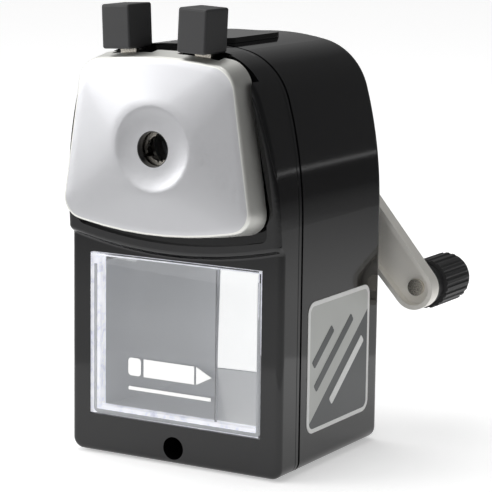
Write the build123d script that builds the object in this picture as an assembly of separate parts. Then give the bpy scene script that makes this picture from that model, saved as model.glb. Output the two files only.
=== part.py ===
from build123d import *
from math import atan2, cos, degrees, hypot, pi, radians, sin, tan
import os

# Hand-cranked desk pencil sharpener, millimetres. X is to the right, the front faces -Y, Z is up.
# The origin is the middle of the rubber pad's underside, half-way along the casing's depth.

# ---- Casing --------------------------------------------------------------------------------
body_width = 62.0
body_depth = 53.4
casing_height = 106.7  # from the casing's lower edge to the middle of the crown
pad_proud = 0.6  # the rubber pad lifts the casing's lower edge off the table
cover_wall = 1.8
bottom_corner = 3.0
shoulder_drop = 43.9  # the sides are upright up to this far below the crown
lean_in = 4.4  # how far each side leans in above the shoulder
lean_top_drop = 13.0
corner_run = 12.3  # width of the rounded shoulder corner
crown_rise = 1.5
front_frame_depth = 7.8
rear_frame_depth = 5.0
front_wall = 2.5
rear_wall = 2.2
tongue_wall = 1.2
tongue_length = 3.0
tongue_gap = 0.1

# ---- Drawer and its window -----------------------------------------------------------------
window_half_width = 25.3
window_bottom = 10.0  # above the casing's lower edge
window_height = 42.5
window_gap = 0.25
drawer_panel = 3.0
drawer_proud = 0.6
drawer_wall = 1.6
drawer_top_gap = 3.0
drawer_travel = 38.0
liner_wall = 1.0
liner_clearance = 0.3
liner_back_gap = 1.0
post_radius = 3.0

# ---- Clamp socket in the lower bar ---------------------------------------------------------
clamp_height = 4.1
clamp_radius = 2.95
clamp_boss_wall = 0.95
clamp_depth = 20.0
front_notch = 1.2  # height of the finger notches under the front bar
notch_setback = 2.0
notch_width = 3.6
notch_inner_x = 9.0
clamp_end_wall = 1.5

# ---- Crank axis, face plate and its recess -------------------------------------------------
axis_drop = 25.1  # below the crown
plate_lower_half_width = 26.9
plate_upper_half_width = 21.3
plate_lower_corner = 17.6  # below the axis
plate_upper_corner = 20.1  # above the axis
plate_bottom = 21.0
plate_top = 22.0
plate_corner = 5.0
plate_depth = 7.9
plate_skin = 0.9
plate_bulge = 1.1
plate_flare = 1.5  # the plate's rear edge stands this far outside its front edge
plate_float = 1.5  # gap between the plate's rear edge and the recess floor
dish_radius = 10.3
dish_depth = 0.7
recess_margin = 0.8
recess_offset = 0.6  # recess floor in front of the front face
hood_start = 1.8
hood_reach = 6.2
ledge_drop = 23.6  # the ledge's line below the axis, at the sides
ledge_sag = 4.0  # the ledge hangs this much lower in the middle
ledge_turn = 1.1  # height of the curve from the front face out to the ledge
lip_height = 2.8  # from the ledge's line up to the recess
lip_half_width = 27.6
front_edge_round = 1.5
rear_edge_round = 2.6
bead_width = 1.5
bead_groove = 0.9
bead_depth = 0.4
top_slot_half_width = 17.0

# ---- Pencil way ----------------------------------------------------------------------------
pencil_bore = 4.3
bush_wall = 0.9
bush_length = 2.0
pencil_way_gap = 2.5  # the way through the front frame is this much wider than the bore
pencil_radius = 3.75

# ---- Chuck: jaws, cam ring and levers ------------------------------------------------------
layer_gap = 0.2
jaw_thickness = 1.4
cam_thickness = 1.0
lever_thickness = 1.2
housing_thickness = 1.2
jaw_pin_circle = 7.8
jaw_grip = 3.1
jaw_width = 3.2
jaw_teeth = 5
chuck_pin = 0.8
pin_clearance = 0.05
cam_inner = 9.4
cam_outer = 12.0
cam_pin = 0.45
cam_pin_circle = 10.6
cam_pin_lead = 9.0  # degrees from the jaw's tail to the pin that pushes it
drive_pin = 0.6
drive_pin_circle = 11.3
drive_pin_angle = 41.6
jaw_tail = 3.2
jaw_tail_width = 1.6
lever_pivot_x = 10.4
lever_pivot_rise = 13.6  # above the axis
lever_pin = 1.2
lever_boss = 3.0
lever_strip = 4.5
lever_splay = 2.5
cap_width = 8.1
cap_depth = 10.5
cap_height = 10.9
cap_centre_x = 10.65
cap_bottom_rise = 23.9  # above the axis
cap_socket = 7.0
cap_edge = 0.6
cap_forward = 1.0  # the cap's middle stands this far in front of the strip
cap_clearance = 0.4
spring_wire = 0.35

# ---- Slide rods ----------------------------------------------------------------------------
rod_radius = 1.9
rod_x = 21.0
rod_drop = 8.0  # below the axis
rod_bush_wall = 1.3
rod_bush_length = 5.0
rod_bush_gap = 0.1
rod_running = 0.04
pull_travel = 26.0
return_coil_radius = 2.9
return_wire = 0.3
return_turns = 9
clip_wall = 1.3
clip_width = 1.0
clip_setback = 2.0  # rod left behind the clip
clip_groove = 0.3
rod_end_gap = 1.5  # from the rods' rear ends to the rear bulkhead
rod_head = 0.7  # the rods' heads stand this far outside their shanks
rod_head_thickness = 0.8
bush_proud = 0.4

# ---- Cutter train --------------------------------------------------------------------------
gear_module = 1.0
pinion_teeth = 10
ring_teeth = 31
tooth_addendum = 0.75
tooth_dedendum = 1.25
tooth_share = 0.36  # of the circular pitch, for thin teeth with backlash
ring_wall = 1.3
ring_depth = 5.0
pinion_width = 2.8
cutter_radius = 6.2
cutter_flutes = 12
flute_depth = 0.9
flute_twist = 60.0
cone_length = 24.0
cutter_end_gap = 1.5  # leaves room for the tilted ends of the cutter
axle_radius = 1.5
running_fit = 0.05
carrier_plate = 1.8
carrier_rear = 4.0
axle_seat = 2.2  # length of the axle held in the cage's rear disc
carrier_outer = 15.0
carrier_gap = 0.4
cage_rear_gap = 1.7
cage_web_width = 14.0
shaft_radius = 3.0
shaft_running = 0.04
bearing_wall = 2.0
bearing_flange = 1.0
bearing_flange_width = 1.5

# ---- Chassis -------------------------------------------------------------------------------
chassis_inset = 3.5
bulkhead = 2.5
deck = 1.6
deck_gap = 0.5

# ---- Crank ---------------------------------------------------------------------------------
crank_length = 55.9
crank_angle = -48.6  # at rest, from +X towards +Z
crank_gap = 6.6  # from the casing's rear face to the arm's rims
arm_half_width = 5.75
arm_hub_half_width = 7.0
arm_web = 1.5
arm_rim = 2.7
arm_rim_wall = 1.2
rivet_radius = 1.7
rivet_head = 3.3
knob_radius = 6.6
knob_length = 19.5
knob_collar = 3.5
knob_ribs = 22
rib_height = 0.35
nut_half_width = 4.2
nut_height = 3.0

# ---- Small trim ----------------------------------------------------------------------------
base_plate_thickness = 2.0
base_recess = 1.0  # the base plate's underside stands this far inside the casing's lower edge
base_gap = 0.15
base_screw_length = 6.5
screw_head_sink = 0.8
pad_half_width = 19.0
pad_half_depth = 19.0
pad_corner = 4.0
screw_radius = 1.2
screw_head = 2.4
screw_head_height = 1.3
screw_boss_wall = 1.2
screw_fit = 0.05
head_fit = 0.1
head_sunk = 0.2  # screw heads stand this far below the face round them
slot_width = 0.6
slot_depth = 0.5
label_half_size = 16.6
label_centre_y = 3.3
label_centre_z = 25.8
label_corner = 3.0
foil = 0.15
badge_width = 16.5
badge_length = 27.0
badge_centre_y = -1.2
badge_rise = 0.9
badge_gap = 0.05

# ---- Worked out from the values above ------------------------------------------------------
half_width = body_width / 2
lower_edge = pad_proud
crown = lower_edge + casing_height
shoulder = crown - shoulder_drop
axis_z = crown - axis_drop
front = -body_depth / 2
rear = body_depth / 2
cover_front = front + front_frame_depth
cover_rear = rear - rear_frame_depth
wall_back = front + front_wall
rear_inner = rear - rear_wall

base_low = lower_edge + base_recess
base_top = base_low + base_plate_thickness
base_half_width = half_width - cover_wall - tongue_gap - tongue_wall - 2 * base_gap
liner_outer = window_half_width + liner_clearance + liner_wall

drawer_floor = lower_edge + window_bottom
drawer_ceiling = drawer_floor + window_height
deck_bottom = drawer_ceiling + deck_gap
deck_top = deck_bottom + deck
bulkhead_front = wall_back
bulkhead_front_back = bulkhead_front + bulkhead
bulkhead_rear_front = cover_rear - bulkhead
liner_rear = bulkhead_rear_front

recess_floor = front - recess_offset
plate_back = recess_floor - plate_float
plate_front = plate_back - plate_depth
housing_back = plate_back - layer_gap
housing_front = housing_back - housing_thickness
lever_back = housing_front - layer_gap
lever_front = lever_back - lever_thickness
cam_back = lever_front - layer_gap
cam_front = cam_back - cam_thickness
jaw_back = cam_front - layer_gap
jaw_front = jaw_back - jaw_thickness
cap_middle_y = (lever_front + lever_back) / 2 - cap_forward

ring_pitch = gear_module * ring_teeth / 2
pinion_pitch = gear_module * pinion_teeth / 2
ring_outer = ring_pitch + tooth_dedendum * gear_module + ring_wall
gear_distance = ring_pitch - pinion_pitch
ring_front = bulkhead_front_back
ring_back = ring_front + ring_depth
pinion_centre_y = ring_front + ring_depth / 2
cone_angle = degrees(atan2(pencil_radius, cone_length))
cutter_frame = Plane(
    origin=(0, pinion_centre_y, axis_z + gear_distance),
    x_dir=(1, 0, 0),
    z_dir=(0, cos(radians(cone_angle)), -sin(radians(cone_angle))),
)
carrier_front = ring_back + carrier_gap
carrier_plate_back = carrier_front + carrier_plate
cutter_start = carrier_plate_back - pinion_centre_y + cutter_end_gap
cage_rear_back = bulkhead_rear_front - bearing_flange - cage_rear_gap
cage_rear_front = cage_rear_back - carrier_rear
cutter_end = cage_rear_front - cutter_end_gap - pinion_centre_y
cutter_length = cutter_end - cutter_start

rod_z = axis_z - rod_drop
rod_bush_back = bulkhead_front_back + bush_proud
rod_end = bulkhead_rear_front - rod_end_gap
clip_front = rod_end - clip_setback - clip_width

rim_front = rear + crank_gap
web_front = rim_front + arm_rim
web_back = web_front + arm_web
knob_x = crank_length * cos(radians(crank_angle))
knob_z = axis_z + crank_length * sin(radians(crank_angle))


# ---- Building blocks -----------------------------------------------------------------------
def facing(y):
    """Plane across the object at depth y: its x is X and its y is Z."""
    return Plane(origin=(0, y, 0), x_dir=(1, 0, 0), z_dir=(0, -1, 0))


def slab(sketch, y_front, y_back):
    return extrude(facing(y_back) * sketch, amount=y_back - y_front)


def rod(radius, x, z, y_front, y_back):
    return slab(Pos(x, z) * Circle(radius), y_front, y_back)


def tube(outer, inner, x, z, y_front, y_back):
    return rod(outer, x, z, y_front, y_back) - rod(inner, x, z, y_front - 1, y_back + 1)


def block(x0, x1, y0, y1, z0, z1):
    return Pos((x0 + x1) / 2, (y0 + y1) / 2, (z0 + z1) / 2) * Box(x1 - x0, y1 - y0, z1 - z0)


def capsule(start, end, width):
    """Flat bar with round ends, between two points of a sketch."""
    run = hypot(end[0] - start[0], end[1] - start[1])
    turn = degrees(atan2(end[1] - start[1], end[0] - start[0]))
    middle = ((start[0] + end[0]) / 2, (start[1] + end[1]) / 2)
    return Pos(*middle) * Rot(0, 0, turn) * SlotCenterToCenter(run, width)


def casing_outline(inset=0.0):
    """Outline of the casing seen from the front, moved inwards by inset."""
    lean_half = half_width - lean_in
    lean_top = crown - lean_top_drop
    crown_half = lean_half - corner_run
    crown_edge = crown - crown_rise
    foot = Line((0, lower_edge), (half_width - bottom_corner, lower_edge))
    toe = TangentArc(foot @ 1, (half_width, lower_edge + bottom_corner), tangent=(1, 0))
    side = Line(toe @ 1, (half_width, shoulder))
    lean = TangentArc(side @ 1, (lean_half, lean_top), tangent=(0, 1))
    corner = TangentArc(lean @ 1, (crown_half, crown_edge), tangent=lean % 1)
    top = ThreePointArc((crown_half, crown_edge), (0, crown), (-crown_half, crown_edge))
    right = [foot, toe, side, lean, corner]
    left = [mirror(edge, Plane.YZ) for edge in right]
    face = make_face(right + [top] + left)
    return offset(face, -inset) if inset else face


def plate_outline(margin=0.0):
    """Outline of the face plate, grown by margin."""
    low = axis_z - plate_lower_corner
    high = axis_z + plate_upper_corner
    bottom = ThreePointArc(
        (-plate_lower_half_width, low), (0, axis_z - plate_bottom), (plate_lower_half_width, low)
    )
    top = ThreePointArc(
        (plate_upper_half_width, high), (0, axis_z + plate_top), (-plate_upper_half_width, high)
    )
    face = make_face([bottom, Line(bottom @ 1, top @ 0), top, Line(top @ 1, bottom @ 0)])
    face = fillet(face.vertices(), plate_corner)
    return offset(face, margin) if margin else face


def gear_outline(teeth, inner_radius, outer_radius, inner_share, outer_share):
    """Star polygon: each tooth is a trapezium that is wider at one radius than at the other."""
    points = []
    step = 2 * pi / teeth
    for tooth in range(teeth):
        middle = pi / 2 + tooth * step
        for radius, share, side in (
            (inner_radius, inner_share, -1),
            (outer_radius, outer_share, -1),
            (outer_radius, outer_share, 1),
            (inner_radius, inner_share, 1),
        ):
            angle = middle + side * share * step / 2
            points.append((radius * cos(angle), radius * sin(angle)))
    return make_face(Polyline(points, close=True))


def screw(x, z, y_head, y_tip):
    """Slotted screw along Y, with its head at y_head."""
    side = 1 if y_tip > y_head else -1
    shank = rod(screw_radius, x, z, *sorted((y_head, y_tip)))
    head = rod(screw_head, x, z, *sorted((y_head, y_head + side * screw_head_height)))
    slot = block(x - screw_head, x + screw_head, y_head - slot_depth, y_head + slot_depth,
                 z - slot_width / 2, z + slot_width / 2)
    return shank + head - slot


# ---- Casing pieces -------------------------------------------------------------------------
rear_screws = [(side * x, z) for x, z in ((14.0, crown - 14), (22.0, deck_top + 8)) for side in (-1, 1)]
front_screws = [(side * 15.0, deck_top + 9.5) for side in (-1, 1)]


def tongue(y_front, y_back):
    outer = casing_outline(cover_wall + tongue_gap)
    inner = casing_outline(cover_wall + tongue_gap + tongue_wall)
    return slab(outer, y_front, y_back) - slab(inner, y_front - 1, y_back + 1)


def base_opening():
    """Hole in the casing's underside that the base plate fills."""
    half = base_half_width + base_gap
    top = base_low + base_plate_thickness + base_gap
    return block(-half, half, wall_back, rear_inner, lower_edge - 1, top)


def ledge_arc():
    """Radius of the ledge's arc and the height of its centre."""
    half = half_width
    radius = (half ** 2 + ledge_sag ** 2) / (2 * ledge_sag)
    return radius, axis_z - ledge_drop - ledge_sag + radius


def hood_space():
    """What is cut away in front of the frame: its edge is the face, the ledge and the hood."""
    radius, centre_z = ledge_arc()
    ledge = axis_z - ledge_drop - ledge_sag
    ahead = front - hood_reach - 4
    top = crown + 4
    low = -casing_height
    turn = ledge_turn
    face = Line((front, low), (front, ledge - turn))
    curve = Spline((front, ledge - turn), (front - hood_start * 0.5, ledge - turn * 0.1),
                   (front - hood_start, ledge + turn),
                   tangents=((0, 1), (-0.1, 1)))
    slope = Line((front - hood_start, ledge + turn), (front - hood_reach, crown))
    over = Polyline((front - hood_reach, crown), (front - hood_reach, top), (ahead, top),
                    (ahead, low), (front, low))
    profile = Plane.YZ * make_face([face, curve, slope, over])
    return revolve(profile, Axis((0, 0, centre_z), (0, 1, 0)), 360)


def recess_outline():
    """The plate's recess: round the plate, and down to the lip above the ledge."""
    radius, centre_z = ledge_arc()
    disc = Pos(0, centre_z) * Circle(radius - lip_height)
    half = lip_half_width
    low = axis_z - plate_lower_corner - plate_flare
    band = Pos(0, low - 10 + 2) * Rectangle(2 * half, 20)
    corner = fillet((disc & band).vertices().group_by(Axis.Y)[0], 2.0)
    return plate_outline(plate_flare + recess_margin) + corner


def round_front_edges(frame):
    edges = [edge for edge in frame.edges()
             if edge.center().Y < front + 0.5 and outside(edge)]
    return fillet(edges, front_edge_round)


def outside(edge):
    """True for an edge that lies on the casing's outline, seen from the front."""
    inner = casing_outline(0.3)
    points = [edge @ share for share in (0.25, 0.5, 0.75)]
    return all(not inner.is_inside(Vector(p.X, p.Z, 0)) for p in points)


def make_front_frame():
    outline = casing_outline()
    shell = slab(outline, front - hood_reach - 1, cover_front)
    shell -= slab(casing_outline(cover_wall), wall_back, cover_front + 1)
    frame = round_front_edges(shell - hood_space())
    frame += tongue(wall_back, cover_front + tongue_length)
    frame -= base_opening()
    ahead = front - hood_reach - 4
    frame -= slab(recess_outline(), ahead, recess_floor)
    slot = top_slot_half_width
    frame -= block(-slot, slot, ahead, recess_floor, axis_z, crown + 5)
    frame -= block(-slot, slot, ahead, cap_middle_y + cap_depth / 2 + cap_clearance,
                   axis_z + cap_bottom_rise - 2 * cap_clearance, crown + 5)
    frame -= block(-window_half_width, window_half_width, front - 1, wall_back + 1,
                   drawer_floor, drawer_ceiling)
    frame -= rod(pencil_bore + pencil_way_gap, 0, axis_z, ahead, wall_back + 1)
    for side in (-1, 1):
        frame -= rod(rod_radius + rod_bush_wall + rod_bush_gap, side * rod_x, rod_z, ahead, wall_back + 1)
        frame -= block(*sorted((side * notch_inner_x, side * (half_width - 2 * bottom_corner))),
                       front + notch_setback, front + notch_setback + notch_width,
                       lower_edge - 1, lower_edge + front_notch)
    for x, z in front_screws:
        frame -= rod(screw_head + head_fit, x, z, ahead, recess_floor + screw_head_height + head_sunk)
        frame -= rod(screw_radius + screw_fit, x, z, ahead, wall_back + 1)
    clamp_z = lower_edge + clamp_height
    frame += rod(clamp_radius + clamp_boss_wall, 0, clamp_z, wall_back, front + clamp_depth)
    frame -= rod(clamp_radius, 0, clamp_z, front - 1, front + clamp_depth - clamp_end_wall)
    return frame


def make_body_cover():
    cover = slab(casing_outline(), cover_front, cover_rear)
    groove_front = cover_front + bead_width
    groove = slab(casing_outline(-1), groove_front, groove_front + bead_groove)
    cover -= groove - slab(casing_outline(bead_depth), cover_front, cover_rear)
    seam = cover.edges().group_by(Axis.Y)[0]
    cover = chamfer([edge for edge in seam if outside(edge)], bead_depth)
    cover -= slab(casing_outline(cover_wall), cover_front - 1, cover_rear + 1)
    return cover - base_opening()


def make_rear_frame():
    frame = slab(casing_outline(), cover_rear, rear)
    frame = fillet(frame.edges().group_by(Axis.Y)[-1], rear_edge_round)
    frame -= slab(casing_outline(cover_wall), cover_rear - 1, rear_inner)
    frame += tongue(cover_rear - tongue_length, rear_inner)
    frame -= base_opening()
    frame -= rod(shaft_radius + bearing_wall + 0.3, 0, axis_z, rear_inner - 1, rear + 1)
    for x, z in rear_screws:
        frame += rod(screw_head + screw_boss_wall, x, z, cover_rear, rear_inner)
        frame -= rod(screw_head + head_fit, x, z, rear - screw_head_height - head_sunk, rear + 1)
        frame -= rod(screw_radius + screw_fit, x, z, cover_rear - 1, rear + 1)
    return frame


def base_screw_places():
    x = liner_outer - post_radius - 0.2
    return [(side * x, y) for side in (-1, 1) for y in (wall_back + 9.5, liner_rear - 6)]


def clamp_clearance():
    """Room that the base plate and the rubber pad leave round the clamp socket's boss."""
    half = clamp_radius + clamp_boss_wall + 2 * base_gap
    return block(-half, half, front, front + clamp_depth + 2 * base_gap, -1, axis_z / 2)


def make_base_plate():
    half = base_half_width
    plate = block(-half, half, wall_back + base_gap, rear_inner - base_gap, base_low, base_top)
    plate -= clamp_clearance()
    for x, y in base_screw_places():
        plate -= Pos(x, y, base_low) * Cylinder(screw_radius + running_fit, 4 * base_plate_thickness)
        plate -= Pos(x, y, base_low) * Cylinder(screw_head + base_gap, 2 * screw_head_sink)
    return plate


def make_rubber_pad():
    shape = RectangleRounded(2 * pad_half_width, 2 * pad_half_depth, pad_corner)
    return extrude(shape, amount=base_low) - clamp_clearance()


def make_base_screws():
    screws = []
    for x, y in base_screw_places():
        head = Pos(x, y, base_low + screw_head_sink / 2) * Cylinder(screw_head, screw_head_sink)
        shank = Pos(x, y, base_low) * Cylinder(screw_radius, 2 * base_screw_length)
        upper = block(x - 5, x + 5, y - 5, y + 5, base_low + 0.2, base_low + base_screw_length)
        slot = Pos(x, y, base_low) * Box(2 * screw_head, 0.6, screw_head_sink)
        screws.append((head + (shank & upper) - slot).solid())
    return Compound(children=screws)


def make_drawer_liner():
    """Pale bay that the drawer slides in, open at the front and the top."""
    inner = liner_outer - liner_wall
    outer = liner_outer
    low = drawer_floor - liner_wall
    bay = block(-outer, outer, wall_back, liner_rear, low, deck_bottom)
    bay -= block(-inner, inner, wall_back - 1, liner_rear - liner_wall, drawer_floor, deck_bottom + 1)
    for x, y in base_screw_places():
        post = Pos(x, y, (base_top + low) / 2) * Cylinder(post_radius, low - base_top)
        bay += post - Pos(x, y, base_low) * Cylinder(screw_radius, 2 * base_screw_length + 0.4)
    return bay


def make_drawer_tray():
    gap = window_gap
    half = window_half_width - gap
    low = drawer_floor + gap
    high = drawer_ceiling - gap
    panel_back = front - drawer_proud + drawer_panel
    panel = block(-half, half, front - drawer_proud, panel_back, low, high)
    panel = fillet(panel.edges().group_by(Axis.Y)[0], 0.4)
    tray_back = liner_rear - liner_wall - liner_back_gap
    tray = block(-half, half, panel_back, tray_back, low, high - drawer_top_gap)
    tray -= block(-half + drawer_wall, half - drawer_wall, panel_back - 1, tray_back - drawer_wall,
                  low + drawer_wall, high)
    tray += panel
    return tray


def make_drawer_mark():
    """Plain pencil pictogram printed on the drawer's front."""
    y = front - drawer_proud
    z = drawer_floor + 14.0
    shaft = Pos(-1.0, z) * Rectangle(15.0, 4.6)
    tip = make_face(Polyline((7.1, z + 2.3), (7.1, z - 2.3), (11.6, z), close=True))
    end = Pos(-11.2, z) * RectangleRounded(3.8, 4.6, 0.9)
    bar = Pos(-0.8, z - 5.6) * Rectangle(24.4, 0.9)
    pieces = [slab(shape, y - foil, y) for shape in (shaft, tip, end, bar)]
    return Compound(children=[p.solid() for p in pieces])


def make_side_label():
    shape = Pos(label_centre_y, lower_edge + label_centre_z) * RectangleRounded(
        2 * label_half_size, 2 * label_half_size + 0.6, label_corner
    )
    return extrude(Plane(origin=(half_width, 0, 0), x_dir=(0, 1, 0), z_dir=(1, 0, 0)) * shape,
                   amount=foil)


def make_top_badge():
    shape = Pos(0, badge_centre_y) * RectangleRounded(badge_width, badge_length, 3)
    badge = Pos(0, 0, crown - 3) * extrude(shape, amount=3 + badge_rise)
    return badge - slab(casing_outline(-badge_gap), front, rear)


# ---- Chassis -------------------------------------------------------------------------------
def upper_face():
    region = Rectangle(2 * body_width, 2 * casing_height)
    above = Pos(0, deck_bottom + casing_height) * region
    return casing_outline(chassis_inset) & above


def make_chassis():
    face = upper_face()
    chassis = slab(face, bulkhead_front, bulkhead_front_back)
    chassis += slab(face, bulkhead_rear_front, cover_rear)
    half = half_width - chassis_inset
    chassis += block(-half, half, bulkhead_front, cover_rear, deck_bottom, deck_top)
    chute = 15.0
    chassis -= block(-chute, chute, ring_back, bulkhead_rear_front - 4, deck_bottom - 1, deck_top + 1)
    chassis -= rod(pencil_bore + 1.0, 0, axis_z, bulkhead_front - 1, bulkhead_front_back + 1)
    for x in (-rod_x, rod_x):
        chassis -= rod(rod_radius + rod_bush_wall, x, rod_z, bulkhead_front - 1, bulkhead_front_back + 1)
    chassis -= rod(shaft_radius + bearing_wall, 0, axis_z, bulkhead_rear_front - 1, cover_rear + 1)
    for x, z in rear_screws:
        chassis -= rod(screw_radius, x, z, bulkhead_rear_front - 1, cover_rear + 1)
    for x, z in front_screws:
        chassis -= rod(screw_radius, x, z, bulkhead_front - 1, bulkhead_front_back + 1)
    return chassis


def make_rod_bushes():
    return Compound(children=[
        tube(rod_radius + rod_bush_wall, rod_radius + rod_running, x, rod_z,
             bulkhead_front_back - rod_bush_length, rod_bush_back).solid()
        for x in (-rod_x, rod_x)
    ])


def make_rear_bearing():
    body = tube(shaft_radius + bearing_wall, shaft_radius + shaft_running, 0, axis_z,
                bulkhead_rear_front, rear)
    flange = tube(shaft_radius + bearing_wall + bearing_flange_width, shaft_radius + shaft_running,
                  0, axis_z, bulkhead_rear_front - bearing_flange, bulkhead_rear_front)
    return body + flange


def make_rear_screws():
    return Compound(children=[
        screw(x, z, rear - head_sunk, bulkhead_rear_front).solid() for x, z in rear_screws
    ])


def make_front_screws():
    return Compound(children=[
        screw(x, z, recess_floor + head_sunk, bulkhead_front_back).solid() for x, z in front_screws
    ])


# ---- Cutter train --------------------------------------------------------------------------
def make_ring_gear():
    root = ring_pitch + tooth_dedendum * gear_module
    tip = ring_pitch - tooth_addendum * gear_module
    # The gaps are the star's points, so one gap stands at the top, where the pinion's tooth sits.
    gaps = gear_outline(ring_teeth, tip, root, 1 - tooth_share * 0.75, 1 - tooth_share * 1.35)
    ring = Circle(ring_outer) - gaps
    return slab(Pos(0, axis_z) * ring, ring_front, ring_back)


def make_cutter_pinion():
    root = pinion_pitch - tooth_dedendum * gear_module
    tip = pinion_pitch + tooth_addendum * gear_module
    star = gear_outline(pinion_teeth, root, tip, tooth_share * 1.5, tooth_share * 0.55)
    gear = Pos(0, 0, -pinion_width / 2) * extrude(star, amount=pinion_width)
    sleeve_end = cutter_start
    gear += Pos(0, 0, sleeve_end / 2) * Cylinder(axle_radius + 1.1, sleeve_end)
    gear -= Cylinder(axle_radius + running_fit, 60)
    return cutter_frame * gear


def make_helical_cutter():
    star = gear_outline(cutter_flutes, cutter_radius - flute_depth, cutter_radius, 0.75, 0.2)
    face = star.face()
    body = Solid.extrude_linear_with_rotation(
        face, center=(0, 0, 0), normal=(0, 0, cutter_length), angle=flute_twist
    )
    body = Pos(0, 0, cutter_start) * body
    body -= Cylinder(axle_radius + running_fit, 4 * cutter_length)
    return cutter_frame * body


def make_cutter_axle():
    ahead = pinion_width / 2 + 0.3
    behind = cutter_end + cutter_end_gap + axle_seat
    length = ahead + behind
    pin = Pos(0, 0, (behind - ahead) / 2) * Cylinder(axle_radius, length)
    head = Pos(0, 0, -ahead + 0.15) * Cylinder(axle_radius + 0.6, 0.3)
    return cutter_frame * (pin + head)


def make_cutter_carrier():
    """Cage that swings the cutter round the pencil: two discs joined by two side webs."""
    cage = tube(carrier_outer, pencil_bore, 0, axis_z, carrier_front, carrier_plate_back)
    cage += rod(carrier_outer - 3, 0, axis_z, cage_rear_front, cage_rear_back)
    web = Circle(carrier_outer - 1) - Circle(carrier_outer - 3.2)
    sides = web & (Pos(0, -1) * Rectangle(4 * carrier_outer, cage_web_width))
    cage += slab(Pos(0, axis_z) * sides, carrier_plate_back - 0.5, cage_rear_back)
    cage -= cutter_frame * (Pos(0, 0, cutter_start / 2) * Cylinder(axle_radius + 1.3, cutter_start))
    cage -= cutter_frame * Cylinder(axle_radius, 2 * (cutter_end + cutter_end_gap + axle_seat))
    cage -= rod(shaft_radius, 0, axis_z, cage_rear_front + 1.5, cage_rear_back + 1)
    return cage


def make_main_shaft():
    shaft = rod(shaft_radius, 0, axis_z, cage_rear_front + 1.5, web_back + nut_height + 0.6)
    return shaft


# ---- Crank ---------------------------------------------------------------------------------
def arm_outline(inset=0.0):
    hub = Pos(0, axis_z) * Circle(arm_hub_half_width - inset)
    end = Pos(knob_x, knob_z) * Circle(arm_half_width - inset)
    return make_hull(hub.edges() + end.edges())


def make_crank_arm():
    arm = slab(arm_outline(), rim_front, web_back)
    arm -= slab(arm_outline(arm_rim_wall), rim_front - 1, web_front)
    arm -= rod(shaft_radius, 0, axis_z, rim_front, web_back + 1)
    arm -= rod(rivet_radius, knob_x, knob_z, rim_front, web_back + 1)
    return arm


def make_crank_collar():
    return tube(shaft_radius + 2.2, shaft_radius, 0, axis_z, rear + 0.4, web_front)


def make_hub_nut():
    nut = slab(Pos(0, axis_z) * RegularPolygon(nut_half_width, 6, major_radius=False),
               web_back, web_back + nut_height)
    return nut - rod(shaft_radius, 0, axis_z, web_back - 1, web_back + nut_height + 1)


def knob_span():
    knob_front = web_back + 0.4
    return knob_front, knob_front + knob_length


def make_knob_rivet():
    knob_front, knob_back = knob_span()
    pin = rod(rivet_radius, knob_x, knob_z, web_front - 1.0, knob_back - 3.5)
    head = rod(rivet_head / 2 + 0.6, knob_x, knob_z, web_front - 1.0, web_front)
    keeper = rod(rivet_radius + 0.7, knob_x, knob_z, knob_back - 4.4, knob_back - 3.5)
    return pin + head + keeper


def make_crank_knob():
    knob_front, knob_back = knob_span()
    outline = gear_outline(knob_ribs, knob_radius - rib_height, knob_radius, 0.8, 0.4)
    ribbed = slab(Pos(knob_x, knob_z) * outline, knob_front + knob_collar, knob_back - 2.6)
    collar = rod(knob_radius - 1.3, knob_x, knob_z, knob_front, knob_front + knob_collar)
    cap = rod(knob_radius - rib_height, knob_x, knob_z, knob_back - 2.6, knob_back)
    cap = fillet(cap.edges().group_by(Axis.Y)[-1], 2.2)
    knob = collar + ribbed + cap
    knob -= rod(rivet_radius + running_fit, knob_x, knob_z, knob_front - 1, knob_back - 3.3)
    knob -= rod(rivet_radius + 0.8, knob_x, knob_z, knob_back - 4.6, knob_back - 3.3)
    return knob


# ---- Face plate unit -----------------------------------------------------------------------
def flared(margin, y_front, y_back):
    """Solid between the plate's outline in front and its flared outline at the back."""
    grow = plate_flare / plate_depth
    near = facing(y_front) * plate_outline(margin + grow * (y_front - plate_front))
    far = facing(y_back) * plate_outline(margin + grow * (y_back - plate_front))
    return loft([near, far], ruled=True)


def make_face_plate():
    plate = flared(0, plate_front - plate_bulge, plate_back)
    reach = hypot(plate_lower_half_width, plate_bottom)
    ball = (reach ** 2 + plate_bulge ** 2) / (2 * plate_bulge)
    plate &= Pos(0, plate_front - plate_bulge + ball, axis_z) * Sphere(ball)
    plate -= flared(-plate_skin, plate_front + plate_skin, plate_back + 1)
    plate -= rod(pencil_bore + bush_wall, 0, axis_z, plate_front - 3, plate_back)
    dish = (dish_radius ** 2 + dish_depth ** 2) / (2 * dish_depth)
    plate -= Pos(0, plate_front - plate_bulge + dish_depth - dish, axis_z) * Sphere(dish)
    slot_out = lever_pivot_x + lever_strip + 0.6
    for side in (-1, 1):
        plate -= block(*sorted((side * 4.5, side * slot_out)), lever_front - 0.4, plate_back + 1,
                       axis_z + plate_upper_corner - 3, crown + 5)
    return plate


def make_pencil_bush():
    y = plate_front - plate_bulge + dish_depth
    body = tube(pencil_bore + bush_wall, pencil_bore, 0, axis_z, y, y + bush_length)
    return body


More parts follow.
